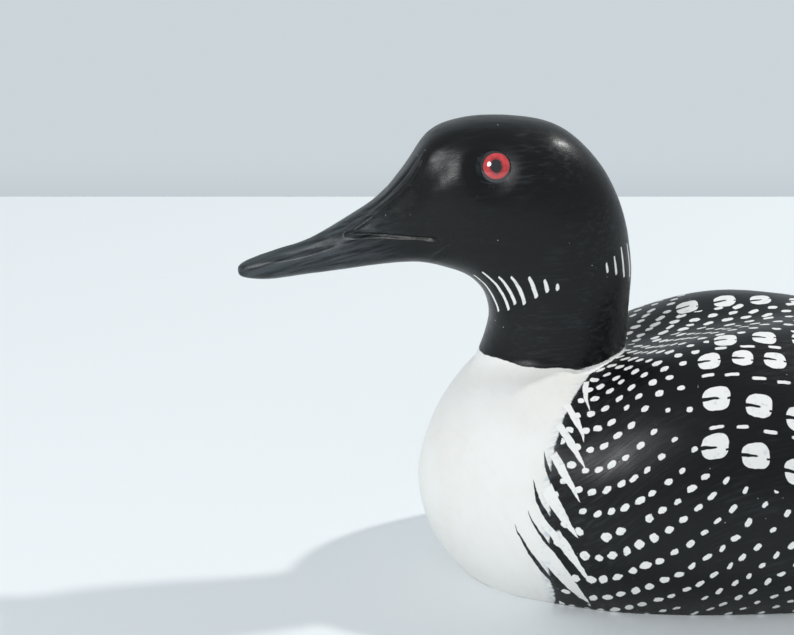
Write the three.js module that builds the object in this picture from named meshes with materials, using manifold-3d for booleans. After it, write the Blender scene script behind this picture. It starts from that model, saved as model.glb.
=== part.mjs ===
// Carved wooden loon figurine, about 296 mm from bill tip to tail, in millimetres with +Z up.
// The bird faces -X and its left side faces -Y. The origin is under the middle of the figure,
// on the plane that it stands on. One block of wood makes the body, neck, head and bill.
// Each eye is a separate domed glass button set in a drilled socket.

import * as THREE from 'three';
import { mergeVertices } from 'three/addons/utils/BufferGeometryUtils.js';
import Module from 'manifold-3d';

const wasm = await Module();
wasm.setup();

// Overall sizes. Stations along the bird are measured back from the bill tip.
const LENGTH = 296;
const BREAST_FRONT = 55.4;
const BEAM_AT = 145;
const HALF_BEAM = 56;
const BEAM_HEIGHT = 30;
const FRONT_REACH = BEAM_AT - BREAST_FRONT;
const TAIL_ROUND = 22;

// The block's own fullness: 2 is an ellipse, more is squarer.
const BACK_FULLNESS = 2.2;
const BELLY_FULLNESS = 2.1;
const BREAST_EASE = 1.1;

// Fineness of the faceted surface.
const BODY_RINGS = 52;
const BODY_SIDES = 48;
const HEAD_RINGS = 60;
const HEAD_SIDES = 32;
const EYE_SIDES = 24;

// Eyes: a domed button in a socket with a flared mouth.
const EYE_STATION = 77.6;
const EYE_HEIGHT = 132.9;
const EYE_OUT = 14.9;
const EYE_RAISE = THREE.MathUtils.degToRad(18);
const EYE_FORWARD = THREE.MathUtils.degToRad(10);
const EYE_RADIUS = 4.9;
const EYE_RIM = -0.4;
const EYE_DOME = 1.9;
const EYE_DOME_STEPS = 4;
const EYE_DEPTH = 3;
const SOCKET_GAP = 0.3;
const SOCKET_MOUTH = 5.9;
const SOCKET_FLARE = 1;
const SOCKET_TOP = 4;
const SOCKET_TOP_RADIUS = 6.2;

// Parting line of the bill: a shallow saw cut on each side.
const GAPE_FRONT = 33;
const GAPE_CORNER = 62;
const GAPE_FRONT_OUT = 7;
const GAPE_CORNER_OUT = 16.4;
const GAPE_HEIGHT = 108.9;
const GAPE_RISE = 2.2;
const GAPE_WIDTH = 1.1;
const GAPE_BELLY = 0.6;
const GAPE_DEPTH = 1.3;
const GAPE_REACH = 12;
const GAPE_SEGMENTS = 6;

// Depth of the block that is sawn off below the flat base.
const GROUND_DEPTH = 60;

// How quickly the head's two hidden or pointed ends close: the share of the ribs is its inverse.
const END_CLOSING = 12;

// Smooth line through a few [station, value] pairs, level beyond both ends.
function fair(pairs) {
  const slopes = pairs.map((pair, i) => {
    const before = pairs[Math.max(i - 1, 0)];
    const after = pairs[Math.min(i + 1, pairs.length - 1)];
    return (after[1] - before[1]) / (after[0] - before[0]);
  });
  return (station) => {
    if (station <= pairs[0][0]) return pairs[0][1];
    if (station >= pairs.at(-1)[0]) return pairs.at(-1)[1];
    const i = pairs.findIndex((pair) => pair[0] > station) - 1;
    const span = pairs[i + 1][0] - pairs[i][0];
    const k = (station - pairs[i][0]) / span;
    const bend = k * k * (3 - 2 * k);
    const out = k * (1 - k) * (1 - k) * span * slopes[i];
    const into = k * k * (k - 1) * span * slopes[i + 1];
    return pairs[i][1] + (pairs[i + 1][1] - pairs[i][1]) * bend + out + into;
  };
}

// Lines of the body, as a boat builder would draw them.
const beamHeight = fair([[55, 28], [BEAM_AT, BEAM_HEIGHT], [200, 33], [245, 39], [LENGTH, 37]]);
const rearHalfBeam = fair([[BEAM_AT, HALF_BEAM], [175, 54.5], [205, 46], [232, 34], [262, 23], [LENGTH, 17]]);
const backRise = fair([[75, 66], [83, 62.5], [90, 58.5], [97, 52.5], [105, 46.8], [112, 47.4], [118, 50.4],
  [122, 51.4], [135, 54], [150, 55.7], [165, 53.9], [182, 50.4], [205, 45.2], [230, 35], [255, 21],
  [275, 11.5], [LENGTH, 7]]);
const keelDrop = fair([[66, 56], [75, 55], [83, 54], [97, 49.5], [115, 48], [130, 46.2], [170, 46],
  [200, 45.5], [225, 40], [250, 27], [272, 15], [LENGTH, 8]]);
const valleyDepth = fair([[104, 0], [112, 3], [118, 6.4], [124, 8.4], [150, 8.3], [158, 6.6], [165, 4.4],
  [173, 2], [184, 0]]);
const valleySpread = fair([[110, 20], [122, 18], [150, 14], [165, 10], [180, 8]]);

// A piece starts as a ball whose poles are its two ends. Each point of the ball is then
// carried to the surface: t runs from end to end and turn runs once round from the top.
function carve(rings, sides, surface) {
  const ball = new THREE.SphereGeometry(1, sides, rings);
  ball.deleteAttribute('normal');
  const place = ball.attributes.position;
  const uv = ball.attributes.uv;
  for (let i = 0; i < place.count; i += 1) {
    const t = 1 - uv.getY(i);
    const turn = t > 0 && t < 1 ? uv.getX(i) * 2 * Math.PI : 0;
    const [x, y, z] = surface(t, turn);
    place.setXYZ(i, x, y, z);
  }
  return toSolid(ball);
}

function toSolid(geometry) {
  const bare = geometry.clone();
  bare.deleteAttribute('normal');
  bare.deleteAttribute('uv');
  const merged = mergeVertices(bare, 1e-4);
  const vertProperties = new Float32Array(merged.attributes.position.array);
  const triVerts = new Uint32Array(merged.index.array);
  return new wasm.Manifold(new wasm.Mesh({ numProp: 3, vertProperties, triVerts }));
}

function toGeometry(solid) {
  const mesh = solid.getMesh();
  const geometry = new THREE.BufferGeometry();
  geometry.setAttribute('position', new THREE.BufferAttribute(mesh.vertProperties, 3));
  geometry.setIndex(new THREE.BufferAttribute(mesh.triVerts, 1));
  return geometry;
}

// Superellipse arm: the sine or cosine of a turn, squared off by the fullness.
function squared(value, fullness) {
  return Math.sign(value) * Math.abs(value) ** (2 / fullness);
}

function bodySurface(t, turn) {
  const station = BREAST_FRONT + (LENGTH - BREAST_FRONT) * (1 - Math.cos(Math.PI * t)) / 2;
  const ahead = Math.max(0, (BEAM_AT - station) / FRONT_REACH);
  const behind = Math.max(0, (station - LENGTH + TAIL_ROUND) / TAIL_ROUND);
  const breast = Math.sqrt(Math.max(0, 1 - ahead ** 2));
  const end = breast * Math.sqrt(Math.max(0, 1 - behind ** 2));
  const halfBeam = rearHalfBeam(station) * end;
  const side = Math.sin(turn);
  const lift = Math.cos(turn);
  const fullness = lift > 0 ? BACK_FULLNESS : BELLY_FULLNESS;
  const y = halfBeam * squared(side, fullness);
  const height = lift > 0 ? backRise(station) * end ** BREAST_EASE : keelDrop(station) * end;
  const valley = valleyDepth(station) * Math.exp(-((y / valleySpread(station)) ** 2));
  const z = beamHeight(station) + height * squared(lift, fullness) - (lift > 0 ? valley * lift : 0);
  return [station - LENGTH / 2, y, z];
}

// Ribs of the head, from the bill tip over the crown and down the neck into the body.
// Each rib joins a point on the top or back line to one on the underside or throat line.
const RIBS = [
  { top: [0, 96.6], under: [0, 95.4], half: 0, full: 2 },
  { top: [2.6, 98.8], under: [1.6, 93.4], half: 2.9, full: 1.95 },
  { top: [12, 102.4], under: [10, 92.8], half: 4.5, full: 1.85 },
  { top: [22, 105.8], under: [21, 94.3], half: 5.6, full: 1.85 },
  { top: [33.8, 112.9], under: [33, 96.2], half: 7.2, full: 2.1 },
  { top: [43.2, 119.2], under: [45, 98.4], half: 9.8, full: 2.5 },
  { top: [50.9, 128.5], under: [56, 99.4], half: 13.4, full: 2.6 },
  { top: [58.2, 139.3], under: [64.4, 97.6], half: 16.6, full: 2.4 },
  { top: [69.3, 143.7], under: [70.5, 95.1], half: 18.7, full: 2.3 },
  { top: [84.2, 144.1], under: [74.6, 90.8], half: 19.6, full: 2.25 },
  { top: [98.8, 140.7], under: [76.4, 86], half: 19.4, full: 2.2 },
  { top: [110.7, 129.2], under: [76.9, 81.5], half: 18.6, full: 2.1 },
  { top: [117.7, 114.5], under: [76.2, 77], half: 18, full: 2 },
  { top: [120.6, 98], under: [74.9, 72.6], half: 17.8, full: 2 },
  { top: [120.2, 84], under: [73, 67.6], half: 18, full: 2 },
  { top: [119.2, 70], under: [71, 60], half: 18.6, full: 2 },
  { top: [112, 54], under: [80, 50], half: 12, full: 2 },
  { top: [97, 51], under: [95, 51], half: 0, full: 2 },
];

function curveOf(line) {
  return new THREE.SplineCurve(RIBS.map((rib) => new THREE.Vector2(...line(rib))));
}

const topLine = curveOf((rib) => rib.top);
const underLine = curveOf((rib) => rib.under);
const sideLine = curveOf((rib) => [rib.half, rib.full]);

function headSurface(t, turn) {
  const top = topLine.getPoint(t);
  const under = underLine.getPoint(t);
  const { x: half, y: full } = sideLine.getPoint(t);
  const end = Math.min(1, Math.sin(Math.PI * t) * END_CLOSING);
  const middle = top.clone().add(under).multiplyScalar(0.5);
  const arm = top.clone().sub(under).multiplyScalar(0.5 * end * squared(Math.cos(turn), full));
  const y = Math.max(0, half) * squared(Math.sin(turn), full);
  return [middle.x + arm.x - LENGTH / 2, y, middle.y + arm.y];
}

// Frame of an eye: its own +Z looks out of the head.
function eyeFrame(side) {
  const out = new THREE.Vector3(
    -Math.sin(EYE_FORWARD) * Math.cos(EYE_RAISE),
    side * Math.cos(EYE_FORWARD) * Math.cos(EYE_RAISE),
    Math.sin(EYE_RAISE),
  );
  const turned = new THREE.Quaternion().setFromUnitVectors(new THREE.Vector3(0, 0, 1), out);
  const at = new THREE.Vector3(EYE_STATION - LENGTH / 2, side * EYE_OUT, EYE_HEIGHT);
  return new THREE.Matrix4().compose(at, turned, new THREE.Vector3(1, 1, 1));
}

// A turned shape from [radius, height] pairs, standing on +Z.
function turned(outline) {
  const lathe = new THREE.LatheGeometry(outline.map((pair) => new THREE.Vector2(...pair)), EYE_SIDES);
  return lathe.rotateX(Math.PI / 2);
}

function eyeButton() {
  const outline = [[0, -EYE_DEPTH], [EYE_RADIUS, -EYE_DEPTH]];
  for (let i = 0; i <= EYE_DOME_STEPS; i += 1) {
    const rise = (i / EYE_DOME_STEPS) * (Math.PI / 2);
    outline.push([EYE_RADIUS * Math.cos(rise), EYE_RIM + EYE_DOME * Math.sin(rise)]);
  }
  outline[outline.length - 1][0] = 0;
  return turned(outline);
}

function socketTool(side) {
  const bore = EYE_RADIUS + SOCKET_GAP;
  const outline = [[0, -EYE_DEPTH - SOCKET_GAP], [bore, -EYE_DEPTH - SOCKET_GAP], [bore, -SOCKET_FLARE],
    [SOCKET_MOUTH, 0], [SOCKET_TOP_RADIUS, SOCKET_TOP], [0, SOCKET_TOP]];
  return toSolid(turned(outline).applyMatrix4(eyeFrame(side)));
}

// A thin lens-shaped blade that lies along the side of the bill and bites into it.
function gapeTool(side) {
  const run = GAPE_CORNER - GAPE_FRONT;
  const blade = new THREE.Shape();
  blade.moveTo(0, 0);
  blade.quadraticCurveTo(run * GAPE_BELLY, GAPE_WIDTH, run, GAPE_RISE);
  blade.quadraticCurveTo(run * GAPE_BELLY, -GAPE_WIDTH, 0, 0);
  const cut = { depth: GAPE_REACH, bevelEnabled: false, curveSegments: GAPE_SEGMENTS };
  const geometry = new THREE.ExtrudeGeometry(blade, cut);
  geometry.rotateX(Math.PI / 2);
  if (side > 0) geometry.translate(0, GAPE_REACH, 0);
  const spread = Math.atan2(GAPE_CORNER_OUT - GAPE_FRONT_OUT, run);
  geometry.rotateZ(side * spread);
  geometry.translate(GAPE_FRONT - LENGTH / 2, side * (GAPE_FRONT_OUT - GAPE_DEPTH), GAPE_HEIGHT);
  return toSolid(geometry);
}

// Half-space under the figure, so that it stands on a flat base.
function groundTool() {
  const ground = new THREE.BoxGeometry(2 * LENGTH, 2 * LENGTH, GROUND_DEPTH);
  ground.translate(0, 0, -GROUND_DEPTH / 2);
  return toSolid(ground);
}

function loonSolid() {
  let solid = carve(BODY_RINGS, BODY_SIDES, bodySurface).subtract(groundTool());
  solid = solid.add(carve(HEAD_RINGS, HEAD_SIDES, headSurface));
  for (const side of [-1, 1]) {
    solid = solid.subtract(socketTool(side)).subtract(gapeTool(side));
  }
  return solid;
}

const paintedWood = new THREE.MeshStandardMaterial({ color: 0x17191c, roughness: 0.45, metalness: 0 });
const redGlass = new THREE.MeshStandardMaterial({ color: 0xb3262b, roughness: 0.08, metalness: 0 });

const loon = new THREE.Group();

const body = new THREE.Mesh(toGeometry(loonSolid()), paintedWood);
body.name = 'carved_loon';
loon.add(body);

for (const [name, side] of [['left_eye', -1], ['right_eye', 1]]) {
  const eye = new THREE.Mesh(eyeButton(), redGlass);
  eye.name = name;
  eye.applyMatrix4(eyeFrame(side));
  loon.add(eye);
}

export default loon;
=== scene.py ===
# %% [markdown]
# A carved and painted wooden loon, about 296 mm from bill tip to tail.
# The real figure is one block of wood, sawn to an outline, rounded with knives and rasps, sanded, and
# painted by hand with a small brush. Two domed glass eyes sit in drilled sockets.
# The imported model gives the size, the place and the form. This lesson makes the finer surface and the paint.

import math

import bmesh
import bpy
import numpy as np
from mathutils import Euler, Matrix, Vector, noise
from mathutils.kdtree import KDTree


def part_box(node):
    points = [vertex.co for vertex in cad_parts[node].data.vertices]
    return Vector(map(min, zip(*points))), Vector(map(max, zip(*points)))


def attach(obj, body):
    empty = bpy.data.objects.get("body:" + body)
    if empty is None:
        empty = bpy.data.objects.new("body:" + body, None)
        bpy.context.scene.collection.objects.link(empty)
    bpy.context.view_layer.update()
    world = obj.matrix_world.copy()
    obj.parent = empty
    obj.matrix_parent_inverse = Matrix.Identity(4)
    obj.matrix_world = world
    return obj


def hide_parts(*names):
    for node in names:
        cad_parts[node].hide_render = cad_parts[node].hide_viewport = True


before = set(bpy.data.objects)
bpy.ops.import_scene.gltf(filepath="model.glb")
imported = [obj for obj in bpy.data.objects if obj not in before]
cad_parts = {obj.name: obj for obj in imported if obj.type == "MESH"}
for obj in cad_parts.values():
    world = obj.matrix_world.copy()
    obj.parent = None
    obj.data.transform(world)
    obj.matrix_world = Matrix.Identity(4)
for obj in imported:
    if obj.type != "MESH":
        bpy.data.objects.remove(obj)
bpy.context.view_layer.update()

# %% [markdown]
# Stations are counted in millimetres back from the bill tip, as a carver lays out a block, and Blender
# works in metres. The bird faces -X, so a station turns into an x by one subtraction.

# %% Stations and units
MM = 0.001
BLOCK_LOW, BLOCK_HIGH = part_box("carved_loon")
LENGTH = (BLOCK_HIGH[0] - BLOCK_LOW[0]) / MM


def at(station, y, z):
    return Vector(((station - LENGTH / 2) * MM, y * MM, z * MM))


def deselect():
    if bpy.context.object and bpy.context.object.mode != "OBJECT":
        bpy.ops.object.mode_set(mode="OBJECT")
    bpy.ops.object.select_all(action="DESELECT")


def pick(piece):
    deselect()
    piece.select_set(True)
    bpy.context.view_layer.objects.active = piece


print("length", round(LENGTH, 1), "mm")

# %% [markdown]
# The photograph is taken from the bird's left, from about 20 degrees above the table, with a long lens.
# The lens is found from the frame's own size: 794 pixels wide, at 3.25 pixels for each millimetre at the bird.

# %% Camera
VIEW_WIDTH = 794
PIXELS_PER_MM = 3.25
CAMERA_PITCH = math.radians(20)
CAMERA_DISTANCE = 850
SENSOR_MM = 36
AIM = at(48.9, 0, 80.2)

camera_data = bpy.data.cameras.new("camera")
camera_data.sensor_width = SENSOR_MM
camera_data.sensor_fit = "HORIZONTAL"
camera_data.lens = SENSOR_MM * PIXELS_PER_MM * CAMERA_DISTANCE / VIEW_WIDTH
camera_data.clip_start = 0.05
camera = bpy.data.objects.new("camera", camera_data)
bpy.context.scene.collection.objects.link(camera)
back_off = Vector((0, -math.cos(CAMERA_PITCH), math.sin(CAMERA_PITCH))) * CAMERA_DISTANCE * MM
camera.location = AIM + back_off
camera.rotation_euler = Euler((math.pi / 2 - CAMERA_PITCH, 0, 0))
bpy.context.scene.camera = camera
print("lens", round(camera_data.lens, 1), "mm")

# %% [markdown]
# The lines of the figure are drawn as a boat builder draws a hull: a few heights and widths at named
# stations, with a fair curve through them. A cubic Hermite curve keeps every named point.

# %% Fair curves
def fair(*pairs):
    xs = np.array([pair[0] for pair in pairs], float)
    ys = np.array([pair[1] for pair in pairs], float)
    before = np.maximum(np.arange(len(xs)) - 1, 0)
    after = np.minimum(np.arange(len(xs)) + 1, len(xs) - 1)
    slopes = (ys[after] - ys[before]) / (xs[after] - xs[before])

    def line(station):
        station = np.clip(station, xs[0], xs[-1])
        i = np.clip(np.searchsorted(xs, station, side="right") - 1, 0, len(xs) - 2)
        span = xs[i + 1] - xs[i]
        k = (station - xs[i]) / span
        step = (ys[i + 1] - ys[i]) * k * k * (3 - 2 * k)
        return ys[i] + step + k * (1 - k) ** 2 * span * slopes[i] + k * k * (k - 1) * span * slopes[i + 1]

    return line


def squared(value, fullness):
    """Superellipse arm: a sine or cosine, squared off by the fullness. 2 is a plain ellipse."""
    return np.sign(value) * np.abs(value) ** (2 / fullness)


BREAST_FRONT = 55.4
BEAM_AT = 145
FRONT_REACH = BEAM_AT - BREAST_FRONT
TAIL_ROUND = 22
BACK_FULLNESS = 2.2
BELLY_FULLNESS = 2.1
BREAST_EASE = 1.1

beam_height = fair((55, 28), (145, 30), (200, 33), (245, 39), (296, 37))
half_beam = fair((145, 56), (175, 54.5), (205, 46), (232, 34), (262, 23), (296, 17))
back_rise = fair((75, 66), (83, 62.5), (90, 58.5), (97, 52.5), (105, 46.8), (112, 47.4), (118, 50.4),
                 (122, 51.4), (135, 54), (150, 55.7), (165, 53.9), (182, 50.4), (205, 45.2), (230, 35),
                 (255, 21), (275, 11.5), (296, 7))
keel_drop = fair((66, 56), (75, 55), (83, 54), (97, 49.5), (115, 48), (130, 46.2), (170, 46),
                 (200, 45.5), (225, 40), (250, 27), (272, 15), (296, 8))
valley_depth = fair((104, 0), (112, 3), (118, 6.4), (124, 8.4), (150, 8.3), (158, 6.6), (165, 4.4),
                    (173, 2), (184, 0))
valley_spread = fair((110, 20), (122, 18), (150, 14), (165, 10), (180, 8))


def body_section(station, turn):
    """y and z of the body at a station, turn running round from the middle of the back."""
    ahead = max(0, (BEAM_AT - station) / FRONT_REACH)
    behind = max(0, (station - LENGTH + TAIL_ROUND) / TAIL_ROUND)
    end = math.sqrt(max(0, 1 - ahead ** 2)) * math.sqrt(max(0, 1 - behind ** 2))
    side, lift = np.sin(turn), np.cos(turn)
    y = half_beam(station) * end * squared(side, np.where(lift > 0, BACK_FULLNESS, BELLY_FULLNESS))
    rise = back_rise(station) * end ** BREAST_EASE * squared(lift, BACK_FULLNESS)
    drop = keel_drop(station) * end * squared(lift, BELLY_FULLNESS)
    valley = valley_depth(station) * np.exp(-(y / valley_spread(station)) ** 2) * np.maximum(lift, 0)
    return y, beam_height(station) + np.where(lift > 0, rise, drop) - valley


y_side, z_side = body_section(BEAM_AT, np.array([math.pi / 2]))
print("beam", round(2 * float(y_side[0]), 1), "mm at height", round(float(z_side[0]), 1))

# %% [markdown]
# A rounded block could be carved from a cube in sculpt mode, but then its sections couldn't be stated.
# Here a ring of points is extruded station by station, and each new ring is laid on its section, so that
# the cage is a set of ribs. A subdivision surface then planks the ribs smoothly, as sanding does.
# Every point also keeps where it lies on the hide, its station and its distance round from the middle of
# the back, and the brush marks are laid out by those two numbers later.

# %% Rings to a closed cage
BODY_RINGS = 50
BODY_SIDES = 48
HEAD_RINGS = 62
HEAD_SIDES = 44
CAGE_LEVELS = 2
HIDE_SCALE = 300
HEAD_OFFSET = 2


def cage(name, sides, rings, lay):
    """Extrudes a ring of points along a piece; lay(t, turn) gives places and hide numbers."""
    deselect()
    bpy.ops.mesh.primitive_circle_add(vertices=sides, radius=MM, fill_type="NGON", calc_uvs=False)
    piece = bpy.context.object
    piece.name = name
    bpy.ops.object.mode_set(mode="EDIT")
    mesh = bmesh.from_edit_mesh(piece.data)
    for layer in ("turn", "hide_u", "hide_v"):
        mesh.verts.layers.float.new(layer)
    turn_of = mesh.verts.layers.float["turn"]
    for i, vert in enumerate(mesh.verts):
        vert[turn_of] = 2 * math.pi * i / sides
    for ring in range(rings + 1):
        if ring:
            bpy.ops.mesh.extrude_region_move()
        mesh = bmesh.from_edit_mesh(piece.data)
        turn_of = mesh.verts.layers.float["turn"]
        hide_u = mesh.verts.layers.float["hide_u"]
        hide_v = mesh.verts.layers.float["hide_v"]
        live = [vert for vert in mesh.verts if vert.select]
        turns = np.array([vert[turn_of] for vert in live])
        places, us, vs = lay((ring + 0.35) / (rings + 0.7), turns)
        for vert, place, u, v in zip(live, places, us, vs):
            vert.co = place
            vert[hide_u], vert[hide_v] = u, v
        bmesh.update_edit_mesh(piece.data)
    bpy.ops.mesh.select_all(action="SELECT")
    bpy.ops.mesh.normals_make_consistent(inside=False)
    bpy.ops.object.mode_set(mode="OBJECT")
    keep_hide(piece)
    smooth = piece.modifiers.new("plank", "SUBSURF")
    smooth.levels = CAGE_LEVELS
    smooth.render_levels = CAGE_LEVELS
    bpy.ops.object.modifier_apply(modifier=smooth.name)
    print(name, "has", len(piece.data.polygons), "faces")
    return piece


def keep_hide(piece):
    """Copies the two hide numbers of each point to a UV map, which joining and cutting keep."""
    data = piece.data
    hide = np.zeros((len(data.vertices), 2))
    for k, name in enumerate(("hide_u", "hide_v")):
        data.attributes[name].data.foreach_get("value", column := np.zeros(len(data.vertices)))
        hide[:, k] = column
    corners = np.zeros(len(data.loops), int)
    data.loops.foreach_get("vertex_index", corners)
    layer = data.uv_layers.new(name="hide")
    layer.data.foreach_set("uv", hide[corners].ravel())
    for name in ("turn", "hide_u", "hide_v"):
        data.attributes.remove(data.attributes[name])


def lay_body(t, turns):
    station = BREAST_FRONT + (LENGTH - BREAST_FRONT) * (1 - math.cos(math.pi * t)) / 2
    y, z = body_section(station, turns)
    fine = np.linspace(0, math.pi, 241)
    fine_y, fine_z = body_section(station, fine)
    girth = np.concatenate(([0], np.cumsum(np.hypot(np.diff(fine_y), np.diff(fine_z)))))
    from_back = np.minimum(turns, 2 * math.pi - turns)
    around = np.interp(from_back, fine, girth)
    places = [at(station, a, b) for a, b in zip(y, z)]
    return places, np.full(len(turns), station / HIDE_SCALE), around / HIDE_SCALE


body = cage("body", BODY_SIDES, BODY_RINGS, lay_body)

# %% [markdown]
# The head is drawn the same way, but its ribs fan round the throat: each one joins a point on the line
# of the bill, crown and nape to a point on the line of the chin and throat. The bill's ribs are close to
# diamonds, because the carver left it with a ridge along each side, and the head's are fuller than ovals.

# %% Head cage
RIBS = (
    dict(top=(0, 96.6), under=(0, 95.4), half=0, full=2),
    dict(top=(2.6, 98.8), under=(1.6, 93.4), half=2.9, full=1.95),
    dict(top=(12, 102.4), under=(10, 92.8), half=4.5, full=1.85),
    dict(top=(22, 105.8), under=(21, 94.3), half=5.6, full=1.85),
    dict(top=(33.8, 112.9), under=(33, 96.2), half=7.2, full=2.1),
    dict(top=(43.2, 119.2), under=(45, 98.4), half=9.8, full=2.5),
    dict(top=(50.9, 128.5), under=(56, 99.4), half=13.4, full=2.6),
    dict(top=(58.2, 139.3), under=(64.4, 97.6), half=16.6, full=2.4),
    dict(top=(69.3, 143.7), under=(70.5, 95.1), half=18.7, full=2.3),
    dict(top=(84.2, 144.1), under=(74.6, 90.8), half=19.6, full=2.25),
    dict(top=(98.8, 140.7), under=(76.4, 86), half=19.4, full=2.2),
    dict(top=(110.7, 129.2), under=(76.9, 81.5), half=18.6, full=2.1),
    dict(top=(117.7, 114.5), under=(76.2, 77), half=18, full=2),
    dict(top=(120.6, 98), under=(74.9, 72.6), half=17.8, full=2),
    dict(top=(120.2, 84), under=(73, 67.6), half=18, full=2),
    dict(top=(119.2, 70), under=(71, 60), half=18.6, full=2),
    dict(top=(112, 54), under=(80, 50), half=12, full=2),
    dict(top=(97, 51), under=(95, 51), half=0, full=2),
)


def through(points, t):
    """Catmull-Rom curve through evenly timed points."""
    points = np.array(points, float)
    last = len(points) - 1
    i = min(int(t * last), last - 1)
    w = t * last - i
    a, b, c, d = (points[min(max(i + k, 0), last)] for k in (-1, 0, 1, 2))
    return 0.5 * (2 * b + (c - a) * w + (2 * a - 5 * b + 4 * c - d) * w ** 2 + (3 * b - a - 3 * c + d) * w ** 3)


def lay_head(t, turns):
    top = through([rib["top"] for rib in RIBS], t)
    under = through([rib["under"] for rib in RIBS], t)
    half, full = through([(rib["half"], rib["full"]) for rib in RIBS], t)
    arm = np.outer(squared(np.cos(turns), full), (top - under) / 2)
    middle = (top + under) / 2
    y = max(half, 0) * squared(np.sin(turns), full)
    places = [at(middle[0] + lean[0], side, middle[1] + lean[1]) for lean, side in zip(arm, y)]
    from_top = np.minimum(turns, 2 * math.pi - turns) / math.pi
    return places, np.full(len(turns), HEAD_OFFSET + t), from_top


head = cage("head", HEAD_SIDES, HEAD_RINGS, lay_head)

# %% [markdown]
# The face is finished with a gouge. A gouge stroke follows a path on the surface and pushes it in, or
# lets it stand proud, by an amount that dies away across the stroke. It could be done in sculpt mode, but
# a stroke with named places and sizes can be read and repeated on the other side.

# %% Gouge
def read_points(piece):
    points = np.zeros(len(piece.data.vertices) * 3)
    piece.data.vertices.foreach_get("co", points)
    return points.reshape(-1, 3)


def read_normals(piece):
    normals = np.zeros(len(piece.data.vertices) * 3)
    piece.data.vertices.foreach_get("normal", normals)
    return normals.reshape(-1, 3)


def write_points(piece, points):
    piece.data.vertices.foreach_set("co", points.ravel())
    piece.data.update()


def along_path(points, path):
    """For each point: distance from a path of places, share of the way along it, and side of it."""
    path = np.array(path)
    starts, spans = path[:-1], np.diff(path, axis=0)
    lengths = np.linalg.norm(spans, axis=1)
    reached = np.concatenate(([0], np.cumsum(lengths)))
    best = np.full(len(points), np.inf)
    share = np.zeros(len(points))
    above = np.zeros(len(points))
    for start, span, length, before in zip(starts, spans, lengths, reached):
        k = np.clip((points - start) @ span / length ** 2, 0, 1)
        off = points - start - k[:, None] * span
        distance = np.linalg.norm(off, axis=1)
        nearer = distance < best
        best[nearer] = distance[nearer]
        share[nearer] = ((before + k * length) / reached[-1])[nearer]
        above[nearer] = np.sign(off[:, 2])[nearer]
    return best, share, above


def refine(piece, path, reach, cuts=2):
    """Divides the faces within reach mm of a path, so that a thin stroke gets points to move."""
    points = read_points(piece)
    near = np.zeros(len(points), bool)
    for side in (-1, 1):
        distance, _, _ = along_path(points, [at(s, side * y, z) for s, y, z in path])
        near |= (distance < reach * MM) & (points[:, 1] * side > 0)
    pick(piece)
    bpy.ops.object.mode_set(mode="EDIT")
    bpy.ops.mesh.select_all(action="DESELECT")
    bpy.ops.object.mode_set(mode="OBJECT")
    piece.data.vertices.foreach_set("select", near)
    bpy.ops.object.mode_set(mode="EDIT")
    bpy.ops.mesh.select_mode(type="VERT")
    bpy.ops.mesh.subdivide(number_cuts=cuts, smoothness=0.6)
    bpy.ops.object.mode_set(mode="OBJECT")
    print("divided round a stroke,", len(piece.data.vertices), "points now")


def gouge(piece, path, depth, width, ends=0.25, only=0):
    """Pushes the surface in by depth mm along a path of (station, y, z) and its mirror image.

    ends is the share of the path over which a stroke fades in and out. only is 1 for the side above the
    path, -1 for the side below it and 0 for both.
    """
    points, normals = read_points(piece), read_normals(piece)
    for side in (-1, 1):
        line = [at(s, side * abs(y), z) for s, y, z in path]
        distance, share, above = along_path(points, line)
        fade = np.clip(np.minimum(share, 1 - share) / ends, 0, 1) if ends else 1
        x = distance / (width * MM)
        fall = np.exp(-x * x)
        if only:
            fall = np.where(above == only, fall, 0)
        same_side = points[:, 1] * side > -0.001
        points -= normals * (fall * fade * same_side * depth * MM)[:, None]
    write_points(piece, points)


GAPE = ((32.6, 6, 109.3), (38, 7.9, 109.6), (45.3, 10.2, 109.8), (51.3, 12.1, 110), (57.3, 13.9, 110.1),
        (62.4, 15.7, 110.3))
LIP = ((36, 7.4, 107.9), (42, 9.1, 107.4), (48, 10.8, 107.3), (54, 12.7, 107.6), (60, 14.6, 108.3),
       (63, 15.6, 108.9))
CHEEK = ((60, 15.6, 111.6), (70.6, 18.1, 111), (79.5, 19.2, 110.2), (90.3, 19.1, 109.8))
JAW = ((58.9, 9.5, 101.5), (61.2, 13.2, 105), (64.2, 15.4, 107.8), (68.9, 17.5, 110.5))
BILL_RIDGE = ((6, 3.3, 98.9), (14, 4.7, 100.6), (22, 5.8, 102.4), (29, 6.5, 104.4), (37, 7.9, 106.6))
BILL_HOLLOW = ((8, 2.6, 100.2), (17, 4.1, 102.5), (26, 5.2, 105.4), (32.5, 6, 108.2))
CULMEN = ((24, 2.4, 106.6), (31.6, 3.4, 110.4), (37.7, 3.6, 114.6), (43.8, 4.1, 119.2), (49.8, 5.9, 126.1),
          (53.4, 6.8, 131.2), (56.6, 7, 135.6))
FEATHER_EDGE = ((32, 5.2, 109), (37.8, 5.6, 113), (43.8, 6.3, 118.2), (48.3, 7.9, 122.8), (51.9, 9.1, 127.1),
                (54.8, 9.5, 131.6), (57.4, 8, 136.4))
LORE = ((48, 11, 117), (51.3, 11.7, 122.6), (55.7, 13.4, 127.6), (60.2, 14, 132.5), (64.6, 13, 136.8),
        (69.1, 10.9, 140.2))

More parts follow.
